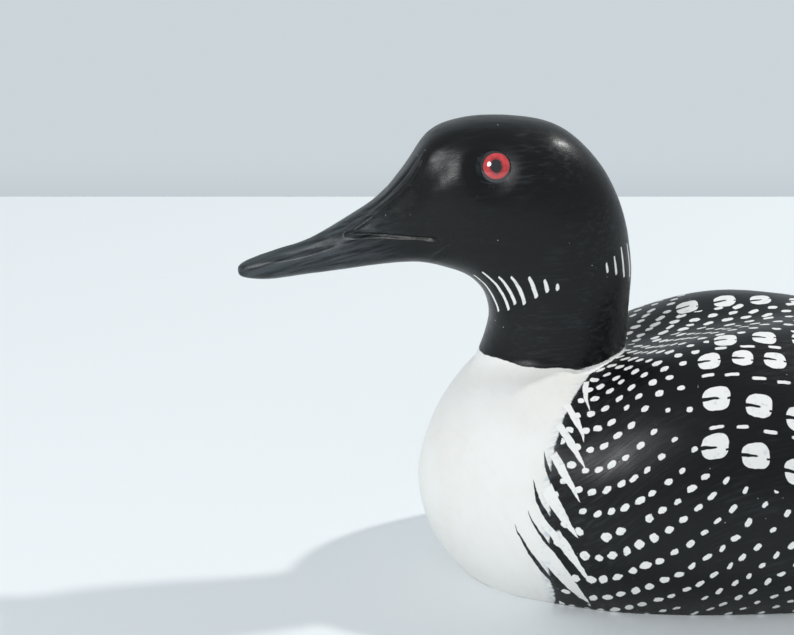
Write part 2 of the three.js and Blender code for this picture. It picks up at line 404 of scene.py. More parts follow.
refine(head, GAPE, 3.2)
refine(head, FEATHER_EDGE, 1.8, cuts=1)
gouge(head, LORE, 1.25, 4.6, ends=0.3)
gouge(head, BILL_HOLLOW, 0.55, 1.7, ends=0.25)
gouge(head, BILL_RIDGE, -0.35, 0.9, ends=0.3)
gouge(head, LIP, 0.8, 1.7, ends=0.3)
gouge(head, GAPE, 1.5, 0.8, ends=0.12)
gouge(head, GAPE, -0.35, 1.6, only=1, ends=0.3)
gouge(head, JAW, 0.55, 0.9, ends=0.3)
gouge(head, CHEEK, 0.35, 3.2, only=-1, ends=0.35)
gouge(head, CULMEN, 0.45, 0.8, ends=0.2)
gouge(head, FEATHER_EDGE, -0.4, 0.6, ends=0.2)
gouge(head, [(s + 0.9, y + 0.7, z - 0.6) for s, y, z in FEATHER_EDGE], 0.5, 0.7, ends=0.2)
print("face strokes cut into", len(head.data.vertices), "points")

# %% [markdown]
# Head and body are now joined into the one block that they are, by a union, and the base is sawn off flat
# where the figure stands. The sockets are drilled with a tool turned on the eye's own axis: a profile
# spun round. A remesh would join them too, but it would lose the crisp corner behind the neck.

# %% One block
EYE_STATION = 77.6
EYE_HEIGHT = 132.9
EYE_OUT = 14.9
EYE_RAISE = math.radians(18)
EYE_FORWARD = math.radians(10)
EYE_RADIUS = 4.9
EYE_DEPTH = 3
SOCKET_GAP = 0.3
SOCKET_MOUTH = 5.9
SOCKET_FLARE = 1
SOCKET_TOP = 4
SOCKET_TOP_RADIUS = 6.2


def eye_frame(side):
    out = Vector((-math.sin(EYE_FORWARD) * math.cos(EYE_RAISE), side * math.cos(EYE_FORWARD) * math.cos(EYE_RAISE),
                  math.sin(EYE_RAISE)))
    turn = Vector((0, 0, 1)).rotation_difference(out).to_matrix().to_4x4()
    return Matrix.Translation(at(EYE_STATION, side * EYE_OUT, EYE_HEIGHT)) @ turn


def turned(name, outline, steps, side):
    """Spins an outline of (radius, height) in mm round the eye's axis into a closed shape."""
    deselect()
    bpy.ops.mesh.primitive_plane_add(size=MM, calc_uvs=False)
    piece = bpy.context.object
    piece.name = name
    bpy.ops.object.mode_set(mode="EDIT")
    bpy.ops.mesh.delete(type="VERT")
    mesh = bmesh.from_edit_mesh(piece.data)
    verts = [mesh.verts.new((radius * MM, 0, height * MM)) for radius, height in outline]
    for a, b in zip(verts, verts[1:]):
        mesh.edges.new((a, b))
    bmesh.update_edit_mesh(piece.data)
    bpy.ops.mesh.select_all(action="SELECT")
    bpy.ops.mesh.spin(steps=steps, angle=2 * math.pi, center=(0, 0, 0), axis=(0, 0, 1))
    bpy.ops.mesh.select_all(action="SELECT")
    bpy.ops.mesh.remove_doubles(threshold=0.00001)
    bpy.ops.mesh.normals_make_consistent(inside=False)
    bpy.ops.object.mode_set(mode="OBJECT")
    piece.data.transform(eye_frame(side))
    return piece


def combine(piece, tool, operation):
    pick(piece)
    change = piece.modifiers.new(operation.lower(), "BOOLEAN")
    change.operation = operation
    change.solver = "EXACT"
    change.object = tool
    bpy.ops.object.modifier_apply(modifier=change.name)
    bpy.data.objects.remove(tool)


bore = EYE_RADIUS + SOCKET_GAP
SOCKET = ((0, -EYE_DEPTH - SOCKET_GAP), (bore, -EYE_DEPTH - SOCKET_GAP), (bore, -SOCKET_FLARE),
          (SOCKET_MOUTH, 0), (SOCKET_TOP_RADIUS, SOCKET_TOP), (0, SOCKET_TOP))

carving = body
carving.name = "loon_carving"
combine(carving, head, "UNION")
for side in (-1, 1):
    combine(carving, turned("socket_tool", SOCKET, 48, side), "DIFFERENCE")

pick(carving)
bpy.ops.object.mode_set(mode="EDIT")
bpy.ops.mesh.select_all(action="SELECT")
bpy.ops.mesh.bisect(plane_co=(0, 0, 0), plane_no=(0, 0, 1), use_fill=True, clear_inner=True, threshold=1e-7)
bpy.ops.mesh.select_all(action="SELECT")
bpy.ops.mesh.remove_doubles(threshold=5e-6)
bpy.ops.object.mode_set(mode="OBJECT")
print("one block of", len(carving.data.polygons), "faces")

# %% [markdown]
# Where the neck rises from the body the carver left two different corners: a soft hollow under the
# throat, and a crisp notch behind the neck. The corner's own points are those that touch both hides.
# The hollow is rubbed smooth in rounds that narrow towards the corner, and the notch gets one light rub.

# %% Corner of neck and body
HEAD_SIDE = 1.5


def split_corner(piece):
    """Station of every point, and its distance in mm from the corner where the two hides meet."""
    data = piece.data
    corners = np.zeros(len(data.loops), int)
    data.loops.foreach_get("vertex_index", corners)
    hide = np.zeros(len(data.loops) * 2)
    data.uv_layers["hide"].data.foreach_get("uv", hide)
    on_head = hide.reshape(-1, 2)[:, 0] > HEAD_SIDE
    touches_head = np.zeros(len(data.vertices), bool)
    touches_body = np.zeros(len(data.vertices), bool)
    touches_head[corners[on_head]] = True
    touches_body[corners[~on_head]] = True
    points = read_points(piece)
    seam = np.flatnonzero(touches_head & touches_body)
    tree = KDTree(len(seam))
    for k, index in enumerate(seam):
        tree.insert(points[index], k)
    tree.balance()
    distance = np.array([tree.find(point)[2] for point in points]) / MM
    return points[:, 0] / MM + LENGTH / 2, distance


def rub(piece, chosen, rounds, factor=0.5):
    pick(piece)
    bpy.ops.object.mode_set(mode="EDIT")
    bpy.ops.mesh.select_all(action="DESELECT")
    bpy.ops.object.mode_set(mode="OBJECT")
    piece.data.vertices.foreach_set("select", chosen)
    bpy.ops.object.mode_set(mode="EDIT")
    bpy.ops.mesh.vertices_smooth(factor=factor, repeat=rounds)
    bpy.ops.object.mode_set(mode="OBJECT")


FRONT_OF_NECK = 104
stations, from_corner = split_corner(carving)
for reach in (10, 7, 4.5, 2.5):
    rub(carving, (from_corner < reach) & (stations < FRONT_OF_NECK - reach * 0.6), 14)
rub(carving, from_corner < 1.2, 2)
stations, from_corner = split_corner(carving)
print("corner is", int((from_corner < 0.01).sum()), "points round")

# %% [markdown]
# A knife and sandpaper leave a surface that is never quite true. Slow noise takes up to a fifth of a
# millimetre off, always inwards, so that the figure stays inside its block, and nothing off the flat base.

# %% Hand of the carver
HAND_DEPTH = 0.22
HAND_SIZE = 11
FACET_DEPTH = 0.09
FACET_SIZE = 3.5
BASE_CLEAR = 3

points, normals = read_points(carving), read_normals(carving)
slow = np.array([noise.noise(Vector(p) / (HAND_SIZE * MM)) for p in points])
quick = np.array([noise.noise(Vector(p) / (FACET_SIZE * MM)) for p in points])
off = HAND_DEPTH * (0.5 + 0.5 * slow) + FACET_DEPTH * (0.5 + 0.5 * quick)
off *= np.clip(points[:, 2] / (BASE_CLEAR * MM), 0, 1)
write_points(carving, points - normals * (off * MM)[:, None])

corner_field = carving.data.attributes.new("corner", "FLOAT", "POINT")
corner_field.data.foreach_set("value", np.minimum(from_corner, 60))

pick(carving)
bpy.ops.object.shade_smooth_by_angle(angle=math.radians(50))
print("deepest cut", round(float(off.max()), 2), "mm")

# %% [markdown]
# Each eye is a glass button, painted red and black behind, with a low dome. It is a profile spun round the
# eye's axis. The iris is painted by its own UV map, laid flat across the button.

# %% Eyes
EYE_DOME = 1.9
EYE_RIM = -0.4
DOME_STEPS = 14
IRIS_SPAN = 10
IRIS_BACK = 0.8
IRIS_UP = 0.3

dome_radius = (EYE_RADIUS ** 2 + EYE_DOME ** 2) / (2 * EYE_DOME)
dome_sweep = math.asin(EYE_RADIUS / dome_radius)
DOME = [(dome_radius * math.sin(dome_sweep * (1 - k / DOME_STEPS)),
         EYE_RIM + EYE_DOME - dome_radius * (1 - math.cos(dome_sweep * (1 - k / DOME_STEPS))))
        for k in range(DOME_STEPS + 1)]
BUTTON = [(0, -EYE_DEPTH), (EYE_RADIUS - 0.5, -EYE_DEPTH), (EYE_RADIUS, -EYE_DEPTH + 0.5)] + DOME

eyes = []
for side, label in ((-1, "left"), (1, "right")):
    eye = turned(label + "_eye_glass", BUTTON, 64, side)
    flat = eye.data.uv_layers.new(name="iris")
    to_eye = eye_frame(side).inverted()
    for loop in eye.data.loops:
        place = (to_eye @ eye.data.vertices[loop.vertex_index].co) / MM
        flat.data[loop.index].uv = (0.5 + (place.x - IRIS_BACK) / IRIS_SPAN,
                                    0.5 + (place.y + side * IRIS_UP) / IRIS_SPAN)
    pick(eye)
    bpy.ops.object.shade_smooth_by_angle(angle=math.radians(40))
    eyes.append(eye)
    print(eye.name, "has", len(eye.data.polygons), "faces")

# %% [markdown]
# The set is plain: a pale table that ends a little way behind the bird, and a grey wall far behind it.
# One light stands behind the bird on its right and throws the shadow towards the camera, and a broad
# soft light in front fills the shaded side. Area lights are used, because their size sets the softness.

# %% Stage and lights
TABLE_BACK = 0.378
TABLE_SIDE = 3
WALL_BACK = 2.4
WALL_DARK = -0.75
WALL_LIGHT = -0.58


def flat_stage(name, low, high, upright=False):
    deselect()
    bpy.ops.mesh.primitive_plane_add(size=1, calc_uvs=False)
    piece = bpy.context.object
    piece.name = name
    bpy.ops.object.mode_set(mode="EDIT")
    if upright:
        bpy.ops.transform.rotate(value=math.pi / 2, orient_axis="X", center_override=(0, 0, 0))
    size = [max(b - a, 1) for a, b in zip(low, high)]
    middle = [(a + b) / 2 for a, b in zip(low, high)]
    bpy.ops.transform.resize(value=size)
    bpy.ops.transform.translate(value=middle)
    bpy.ops.object.mode_set(mode="OBJECT")
    return piece


table = flat_stage("table", (-TABLE_SIDE, -TABLE_SIDE, 0), (TABLE_SIDE, TABLE_BACK, 0))
wall = flat_stage("wall", (-TABLE_SIDE * 2, WALL_BACK, -2), (TABLE_SIDE * 2, WALL_BACK, 4), upright=True)


def area_light(name, place, target, size, watts, colour=(1, 1, 1)):
    data = bpy.data.lights.new(name, "AREA")
    data.shape = "DISK"
    data.size = size
    data.energy = watts
    data.color = colour
    lamp = bpy.data.objects.new(name, data)
    lamp.location = place
    lamp.rotation_euler = (Vector(target) - Vector(place)).to_track_quat("-Z", "Y").to_euler()
    bpy.context.scene.collection.objects.link(lamp)


def around(azimuth, elevation, distance):
    """A place seen from the bird's middle; azimuth 0 is the camera's side, 90 the bird's tail."""
    a, e = math.radians(azimuth), math.radians(elevation)
    return AIM + Vector((math.sin(a) * math.cos(e), -math.cos(a) * math.cos(e), math.sin(e))) * distance


KEY_AZIMUTH = 111
KEY_ELEVATION = 45
FILL_AZIMUTH = -42
FILL_ELEVATION = 32
area_light("key", around(KEY_AZIMUTH, KEY_ELEVATION, 2), AIM, 0.12, 19, (1, 0.99, 0.975))
area_light("fill", around(FILL_AZIMUTH, FILL_ELEVATION, 1.5), AIM, 0.55, 11, (1, 1, 1))

world = bpy.data.worlds.new("studio")
world.use_nodes = True
world.node_tree.nodes["Background"].inputs["Color"].default_value = (0.9, 0.97, 1, 1)
world.node_tree.nodes["Background"].inputs["Strength"].default_value = 0.5
bpy.context.scene.world = world
bpy.context.scene.view_settings.view_transform = "Standard"
print("stage and lights set")

# %% [markdown]
# All the colour is brushwork, so it is painted with shader nodes. Wiring hundreds of Math nodes by hand is
# slow to read, so a small helper stands for a value that changes over the surface: adding or multiplying
# two such values lays down the nodes. A group of nodes with named inputs serves as a stencil, which is
# placed once for every brush mark of its kind.

# %% Fields
def feed(tree, slot, value):
    if isinstance(value, Field):
        tree.links.new(value.socket, slot)
    else:
        slot.default_value = value


class Field:
    """A value over the surface; arithmetic on it lays down Math nodes."""

    def __init__(self, tree, socket):
        self.tree = tree
        self.socket = socket

    def math(self, operation, *values, clamp=False):
        node = self.tree.nodes.new("ShaderNodeMath")
        node.operation = operation
        node.use_clamp = clamp
        for slot, value in zip(node.inputs, values):
            feed(self.tree, slot, value)
        return Field(self.tree, node.outputs[0])

    def __add__(self, other):
        return self.math("ADD", self, other)

    def __radd__(self, other):
        return self.math("ADD", other, self)

    def __sub__(self, other):
        return self.math("SUBTRACT", self, other)

    def __rsub__(self, other):
        return self.math("SUBTRACT", other, self)

    def __mul__(self, other):
        return self.math("MULTIPLY", self, other)

    def __rmul__(self, other):
        return self.math("MULTIPLY", other, self)

    def __truediv__(self, other):
        return self.math("DIVIDE", self, other)

    def __rtruediv__(self, other):
        return self.math("DIVIDE", other, self)

    def __pow__(self, other):
        return self.math("POWER", self, other)

    def __abs__(self):
        return self.math("ABSOLUTE", self)

    def round(self):
        return self.math("ROUND", self, 0)

    def least(self, other):
        return self.math("MINIMUM", self, other)

    def most(self, other):
        return self.math("MAXIMUM", self, other)

    def above(self, other):
        return self.math("GREATER_THAN", self, other)

    def below(self, other):
        return self.math("LESS_THAN", self, other)

    def clamped(self):
        return self.math("ADD", self, 0, clamp=True)

    def ramp(self, low, high, out_low=0, out_high=1, smooth=True):
        """Eases from out_low to out_high while this value goes from low to high."""
        node = self.tree.nodes.new("ShaderNodeMapRange")
        node.interpolation_type = "SMOOTHSTEP" if smooth else "LINEAR"
        for slot, value in zip(node.inputs, (self, low, high, out_low, out_high)):
            feed(self.tree, slot, value)
        return Field(self.tree, node.outputs[0])


def joined(tree, x, y=0, z=0):
    node = tree.nodes.new("ShaderNodeCombineXYZ")
    for slot, value in zip(node.inputs, (x, y, z)):
        feed(tree, slot, value)
    return Field(tree, node.outputs[0])


def split(vector):
    node = vector.tree.nodes.new("ShaderNodeSeparateXYZ")
    vector.tree.links.new(vector.socket, node.inputs[0])
    return [Field(vector.tree, out) for out in node.outputs]


def clouds(vector, scale, detail=2, roughness=0.5):
    """Noise from 0 to 1 along a vector."""
    node = vector.tree.nodes.new("ShaderNodeTexNoise")
    vector.tree.links.new(vector.socket, node.inputs["Vector"])
    node.inputs["Scale"].default_value = scale
    node.inputs["Detail"].default_value = detail
    node.inputs["Roughness"].default_value = roughness
    return Field(vector.tree, node.outputs["Fac"])


def chance(tree, a, b, seed):
    """Three random numbers from 0 to 1 for a pair of whole numbers."""
    node = tree.nodes.new("ShaderNodeTexWhiteNoise")
    node.noise_dimensions = "3D"
    tree.links.new(joined(tree, a, b, seed).socket, node.inputs["Vector"])
    return split(Field(tree, node.outputs["Color"]))


def tint(tree, share, first, second):
    """Mixes two colours; each is a colour or a field of colours."""
    node = tree.nodes.new("ShaderNodeMix")
    node.data_type = "RGBA"
    feed(tree, node.inputs[0], share)
    for slot, value in zip((node.inputs[6], node.inputs[7]), (first, second)):
        feed(tree, slot, value if isinstance(value, Field) else (*value, 1))
    return Field(tree, node.outputs[2])


def inks(tree, name, kind="UV"):
    if kind == "UV":
        node = tree.nodes.new("ShaderNodeUVMap")
        node.uv_map = name
        return Field(tree, node.outputs["UV"])
    if kind == "FLOAT":
        node = tree.nodes.new("ShaderNodeAttribute")
        node.attribute_name = name
        return Field(tree, node.outputs["Fac"])
    node = tree.nodes.new("ShaderNodeTexCoord")
    return Field(tree, node.outputs["Object"])


def stencil(name, labels, draw, out="Mask"):
    """Node group with number inputs; draw(tree, *fields) gives its one output."""
    tree = bpy.data.node_groups.new(name, "ShaderNodeTree")
    for label in labels:
        tree.interface.new_socket(name=label, in_out="INPUT", socket_type="NodeSocketFloat")
    tree.interface.new_socket(name=out, in_out="OUTPUT", socket_type="NodeSocketFloat")
    entry = tree.nodes.new("NodeGroupInput")
    close = tree.nodes.new("NodeGroupOutput")
    drawn = draw(tree, *[Field(tree, entry.outputs[label]) for label in labels])
    tree.links.new(drawn.socket, close.inputs[out])
    return tree


def stamp(tree, group, *values):
    node = tree.nodes.new("ShaderNodeGroup")
    node.node_tree = group
    for slot, value in zip(node.inputs, values):
        feed(tree, slot, value)
    return Field(tree, node.outputs[0])


def painted(material_name):
    material = bpy.data.materials.new(material_name)
    material.use_nodes = True
    return material, material.node_tree, material.node_tree.nodes["Principled BSDF"]


def bump(tree, height, strength, distance, normal=None):
    node = tree.nodes.new("ShaderNodeBump")
    node.inputs["Strength"].default_value = strength
    node.inputs["Distance"].default_value = distance * MM
    tree.links.new(height.socket, node.inputs["Height"])
    if normal:
        tree.links.new(normal.socket, node.inputs["Normal"])
    return Field(tree, node.outputs["Normal"])


print("field helper ready")

# %% [markdown]
# The stencils. A loon's summer coat has rows of small white dots, white squares split by a dark slit over
# the shoulders, short bars on the throat and nape, and long leaf strokes where black meets white. Each
# stencil measures how far a point lies from the mark's middle, in millimetres of hide, and puts paint
# where that is less than the mark's size. The edge is a tenth of a millimetre soft, as thick paint is.

# %% Stencils
PAINT_EDGE = 0.11


def covered(distance, size, edge=PAINT_EDGE):
    return (distance - size).ramp(-edge, edge, 1, 0)


def draw_leaf(tree, station, girth, s0, g0, s1, g1, width, bow):
    """A stroke that is wide for half its length and then runs to a point, bowed sideways."""
    run_s = s1 - s0
    run_g = g1 - g0
    length = (run_s * run_s + run_g * run_g) ** 0.5
    off_s = station - s0
    off_g = girth - g0
    share = (off_s * run_s + off_g * run_g) / (length * length)
    across = (off_s * run_g - off_g * run_s) / length
    inside = (share * (1 - share)).most(0)
    across = abs(across - bow * inside * 4)
    half = width * 0.5 * (((1 - share) * 1.6).most(0.0001).least(1) ** 0.75)
    return covered(across, half) * share.ramp(0, 0.06) * share.below(1)


def draw_bar(tree, t, turn, t0, t1, turn_at, half, reach, pace):
    """A bar on the head that runs along t at one turn, thin where it starts and round where it ends."""
    share = (t - t0) / (t1 - t0)
    body = half * share.ramp(-0.2, 0.6, 0.55, 1)
    past = (abs(share - 0.5) - 0.5).most(0) * (t1 - t0) * pace / body
    side = abs(turn - turn_at) * reach / body
    return covered((side ** 2 + past ** 2) ** 0.5 * body, body)


def draw_horseshoes(tree, station, girth, first, g_first, rise, pitch, size, phase):
    """A row of rounded squares, each with a slit from its front edge."""
    index = ((station - first) / pitch).round().most(0)
    centre = first + index * pitch
    dice_a, dice_b, dice_c = chance(tree, index, phase, 3)
    scale = size * centre.ramp(172, 222, 1, 0.42) * (0.94 + dice_a * 0.12)
    ds = (station - centre + (dice_b - 0.5) * 0.8) / scale
    dg = (girth - g_first - rise * (centre - first) + (dice_c - 0.5) * 0.8) / scale
    front = ds.ramp(-4.5, 0, 0.9, 1)
    square = ((abs(ds) / 4.1) ** 3 + (abs(dg) / (3.9 * front)) ** 3) ** 0.333
    face = covered(square * 3.9, 3.9)
    slit_half = ds.ramp(-4, 0.2, 0.62, 0.36, smooth=False) * ds.ramp(0.1, 0.9, 1, 0)
    slit = covered(abs(dg - ds * 0.09 + (dice_b - 0.5) * 0.5), slit_half) * ds.below(0.9)
    nick = covered(abs(dg + (dice_a - 0.6) * 3), 0.35) * ds.above(3.2)
    return face * (1 - slit) * (1 - nick) * centre.below(224)


def draw_dashes(tree, station, girth, first, g_first, rise, pitch, size, phase):
    """A row of short level dashes."""
    index = ((station - first) / pitch).round().most(0)
    centre = first + index * pitch
    dice_a, dice_b, dice_c = chance(tree, index, phase, 7)
    scale = size * centre.ramp(172, 222, 1, 0.5)
    ds = (station - centre + (dice_b - 0.5) * 1.4) / (scale * (0.85 + dice_a * 0.4))
    dg = (girth - g_first - rise * (centre - first) + (dice_c - 0.5) * 0.5) / scale
    shape = ((ds / 1.95) ** 4 + (dg / 0.62) ** 4) ** 0.25
    return covered(shape, 1, 0.12) * centre.below(222)


def draw_sweep(tree, station, girth):
    """How far a row of dots has climbed at a station: a hollow curve, then a straight slant."""
    centre = 106 + girth.ramp(40, 66, 0, 12, smooth=False)
    k = 0.022 - girth.ramp(50, 90, 0, 0.0095, smooth=False)
    d = abs(station - centre)
    near = d.least(0.5 / k)
    return k * near * near + (d - near)


def draw_dots(tree, station, girth, wobble, phase):
    """Rows of small dots that sweep up from the base and along the shoulder.

    Rows and places along a row are both sums of station, girth and sweep, so they are not square to each
    other. Two short steps measure how fast each changes, and from that comes the true offset from a dot.
    """
    step = 0.4
    f = stamp(tree, sweep, station, girth)
    f_s = (stamp(tree, sweep, station + step, girth) - f) / step
    f_g = (stamp(tree, sweep, station, girth + step) - f) / step
    p = girth + f
    row = p.ramp(-12.9, 30.1, -8, 2, smooth=False) + p.ramp(83, 338, 0, 30, smooth=False)
    for low, high, rows in ((30.1, 46.9, 3), (46.9, 68.5, 3), (68.5, 83, 2)):
        row = row + p.ramp(low, high, 0, rows, smooth=False)
    row_at = row.round()
    per_row = 4.3 + p.above(30.1) * 1.3 + p.above(46.9) * 1.6 + p.above(83) * 1.3
    p_g = 1 + f_g
    row_dice = chance(tree, row_at, 1, phase)
    q = station / 4.05 + row_at * 0.5 + 0.2 + (row_dice[0] - 0.5) * 0.24
    q_s = 1 / 4.05
    q_at = q.round()
    v = (row - row_at) * per_row
    along = (q - q_at) / q_s
    ds = along
    dg = (v - f_s * along) / p_g
    dice = chance(tree, row_at, q_at, phase)
    more = chance(tree, q_at, row_at, phase + 11)
    ds = ds + (dice[0] - 0.5) * 0.8
    dg = dg + (dice[1] - 0.5) * 0.9
    rear = station.ramp(128, 146) * girth.ramp(60, 74)
    front = station.ramp(120, 134, 1, 0) * girth.ramp(64, 76)
    valley = girth.ramp(14, 32, 1, 0)
    middle = girth.ramp(36, 44) * girth.ramp(56, 64, 1, 0) * station.ramp(112, 124)
    radius = 0.8 + dice[2] * 0.28 + front * 0.14 - rear * 0.1 - valley * 0.1 - middle * 0.13
    angle = front * 0.95 - rear * 0.9 + (more[0] - 0.5) * 0.7 + valley * 0.1
    longer = 1.08 + rear * 0.42 + front * 0.3 + valley * 0.5 + more[1] * 0.22
    cosine, sine = angle.math("COSINE", angle), angle.math("SINE", angle)
    u = (ds * cosine + dg * sine) / longer
    w = (dg * cosine - ds * sine) * (1 + rear * 0.12)
    shape = (abs(u) ** 2.5 + abs(w) ** 2.5) ** 0.4
    return covered(shape + wobble * 0.5, radius) * more[2].above(0.03)


sweep = stencil("sweep of a row", ["Station", "Girth"], draw_sweep)
leaf = stencil("leaf stroke", ["Station", "Girth", "From station", "From girth", "To station", "To girth",
                               "Width", "Bow"], draw_leaf)
bar = stencil("bar", ["Along", "Turn", "Starts", "Ends", "Turn at", "Half width", "Reach", "Pace"],
              draw_bar)
ROW_LABELS = ["Station", "Girth", "First station", "First girth", "Rise", "Pitch", "Size", "Phase"]
horseshoes = stencil("row of horseshoes", ROW_LABELS, draw_horseshoes)
dashes = stencil("row of dashes", ROW_LABELS, draw_dashes)
dots = stencil("rows of dots", ["Station", "Girth", "Wobble", "Phase"], draw_dots)
print("stencils:", ", ".join(group.name for group in bpy.data.node_groups))

# %% [markdown]
# Where the marks go. The strokes at the breast are placed one by one, as the painter did, by station and
# distance round from the middle of the back. The bars of the throat and nape follow the head, so they are
# placed by the share of the way along the head and by the turn round it from the crown, in degrees.

# %% Places of the marks
WHITE_STROKES = (
    ((106.1, 21.5), (105.6, 28.4), (106.7, 34.5), 1.5),
    ((99.4, 31.6), (102.3, 37.3), (104.6, 44.5), 2.3),
    ((96.8, 38.6), (100.4, 44.6), (104.9, 53.2), 2.3),
    ((95, 47.6), (98.9, 54.6), (103.2, 62.6), 2.5),
    ((93, 57.6), (97.2, 65.6), (102.8, 74), 3.4),
    ((91.6, 67), (99.4, 77.6), (107.4, 91.8), 3.1),
    ((91.6, 77), (99.2, 88.6), (107.9, 104.4), 4.3),
)
BLACK_STROKES = (
    ((95.6, 57.4), (93.8, 53.4), (92.7, 47.3), 1.3),
    ((97.4, 72.4), (92.4, 65.4), (89.5, 55.2), 1.7),
    ((96.6, 79.6), (91.9, 73.2), (87.8, 64.4), 0.95),
    ((97, 92.8), (89.6, 80.6), (84, 67.4), 1.25),
    ((107.3, 103.4), (99.9, 95.2), (94.4, 88.2), 1.7),
)
THROAT_BARS = (
    (0.489, 0.638, 146, 0.42),
    (0.5125, 0.66, 132.5, 0.44),
    (0.566, 0.66, 124.5, 0.44),
    (0.6, 0.68, 116.5, 0.46),
    (0.64, 0.6875, 106, 0.46),
    (0.6725, 0.695, 97, 0.44),
    (0.6985, 0.7065, 89.5, 0.42),
)
NAPE_BARS = (
    (0.73, 0.74, 48, 0.34),
    (0.7317, 0.7517, 39, 0.36),
    (0.7308, 0.7642, 28, 0.4),
    (0.7358, 0.7733, 15, 0.4),
    (0.742, 0.778, 1, 0.4),
)
HORSESHOE_ROWS = (
    (141.8, 31.2, 0.03, 10, 0.8),
    (143, 44.8, 0.25, 12.2, 1),
    (142, 59.8, 0.28, 12.2, 1.02),
)
DASH_ROWS = (
    (145.2, 26.4, 0, 8.5, 0.95),
    (140.5, 36.6, 0.13, 7.8, 0.9),
    (142.6, 53.8, 0.12, 8.1, 0.9),
)
RIDGE_ROW = (147.5, 22, -0.05, 11.7, 0.85)
FAR_RIDGE_ROW = (139.2, 14, -0.08, 11.6, 0.8)
MM_PER_DEGREE = 0.31
PACE_AT_CROWN = 240
PACE_AT_THROAT = 80

# %% [markdown]
# The coat of paint. White goes on first over breast and belly, then black over the head and back, then all
# the white marks. Nothing hand-painted has an exact edge, so every measure is first shaken by a little
# noise. Thin paint at the edges lets the dark under it show through, and black shows the pull of the
# brush, level on the head and rising towards the tail on the flank.

# %% Coat of paint
def stroke_values(start, middle, end, width):
    """Numbers for the leaf stencil; the bow is how far the middle lies from the straight line."""
    run = np.subtract(end, start)
    off = np.subtract(middle, start)
    bow = float(off[0] * run[1] - off[1] * run[0]) / float(np.hypot(*run))
    return (*start, *end, width, bow)


MARK_SHAKE = 0.9
EDGE_SHAKE = 1.7
RING_HEIGHT = 71.2

coat, tree, shader = painted("painted_wood")
hide_u, hide_v, _ = split(inks(tree, "hide"))
place = inks(tree, "", "OBJECT")
x, y, z = split(place)
corner = inks(tree, "corner", "FLOAT")

on_head = hide_u.above(HEAD_SIDE)
on_body = 1 - on_head
height = z / MM
far_back = x / MM + LENGTH / 2
along_head = hide_u - HEAD_OFFSET
turn = hide_v * 180

shake = clouds(place, 330, 2) - 0.5
shake_too = clouds(joined(tree, y, z, x), 310, 2) - 0.5
ragged = clouds(place, 1100, 2, 0.6) - 0.5
station = hide_u * HIDE_SCALE + shake * MARK_SHAKE
girth = hide_v * HIDE_SCALE + shake_too * MARK_SHAKE

above_bow = (54.6 - girth).most(0) / 36.6
below_bow = (girth - 54.6).most(0)
breast_edge = 94.3 + above_bow ** 1.5 * 13 + girth.ramp(84, 102, 0, 2.6) + ragged * 0.9
ring_at = RING_HEIGHT - far_back.ramp(74, 80, 0.9, 0) - far_back.ramp(82, 88, 0, 0.5)
ring_at = ring_at - far_back.ramp(98, 106, 0, 1.3) + shake * 0.7
breast = (breast_edge - station).ramp(-0.35, 0.35) * on_body * (ring_at - height).ramp(-0.1, 0.1)
collar = (ring_at - height).ramp(-0.14, 0.14) * on_head * (110 - far_back).ramp(-0.4, 0.4)
notch_width = far_back.ramp(106, 116, 1.3, 0.4)
notch_line = (corner - notch_width + ragged).ramp(-0.15, 0.15, 1, 0) * far_back.ramp(104, 107)
notch_line = notch_line * far_back.ramp(118, 120, 1, 0)
white = breast.most(collar)

marks = on_body * 0
for stroke in WHITE_STROKES:
    marks = marks.most(stamp(tree, leaf, station, girth, *stroke_values(*stroke)))
leaves = marks * on_body
black_leaf = on_body * 0
for stroke in BLACK_STROKES:
    black_leaf = black_leaf.most(stamp(tree, leaf, station, girth, *stroke_values(*stroke)))
black_leaf = black_leaf * on_body
white = white * (1 - black_leaf)
leaves = leaves * (1 - black_leaf)
marks = leaves.most(notch_line)
for starts, ends, turn_at, half in THROAT_BARS + NAPE_BARS:
    pace = PACE_AT_CROWN + (PACE_AT_THROAT - PACE_AT_CROWN) * turn_at / 180
    one = stamp(tree, bar, along_head, turn + shake * 1.2, starts, ends, turn_at, half, MM_PER_DEGREE, pace)
    marks = marks.most(one * on_head)

mirror = y.above(0)
saddle_front = 138 + girth.ramp(32, 20, 0, 5) - mirror * girth.ramp(24, 18, 0, 6)
saddle_top = 19 - mirror * 8.5
saddle = station.above(saddle_front) * girth.above(saddle_top) * station.below(224)
saddle = saddle * (64.5 + 0.42 * (station - 140) - girth).above(0)
for phase, row in enumerate(HORSESHOE_ROWS):
    marks = marks.most(stamp(tree, horseshoes, station, girth, *row, mirror * 20 + phase) * on_body)
ridge = [near + mirror * (far - near) for near, far in zip(RIDGE_ROW, FAR_RIDGE_ROW)]
marks = marks.most(stamp(tree, horseshoes, station, girth, *ridge, mirror * 20 + 7) * on_body)
for phase, row in enumerate(DASH_ROWS):
    marks = marks.most(stamp(tree, dashes, station, girth, *row, mirror * 20 + phase + 9) * on_body)
field_of_dots = stamp(tree, dots, station, girth, ragged, mirror * 7 + 2)
dots_here = on_body * (1 - saddle) * (station - breast_edge - 1.5).above(0) * station.ramp(252, 262, 1, 0)
dots_here = dots_here * height.above(0.2)
marks = marks.most(field_of_dots * dots_here)
print("nodes painting the marks:", len(tree.nodes))

# %% [markdown]
# Colours and gloss. The black is a satin paint full of fine streaks and tiny white specks. The white is
# warmer, and shows faint curved strokes and pits. A sharp gloss over the whole comes from the roughness,
# and the grain in it from two bumps, one of brush streaks and one of fine grit.

# %% Colour and gloss
def streaks(along, across, other, scale, stretch):
    """Noise drawn out along one direction, as a brush leaves it."""
    return clouds(joined(tree, along / stretch, across, other), scale, 4, 0.65)


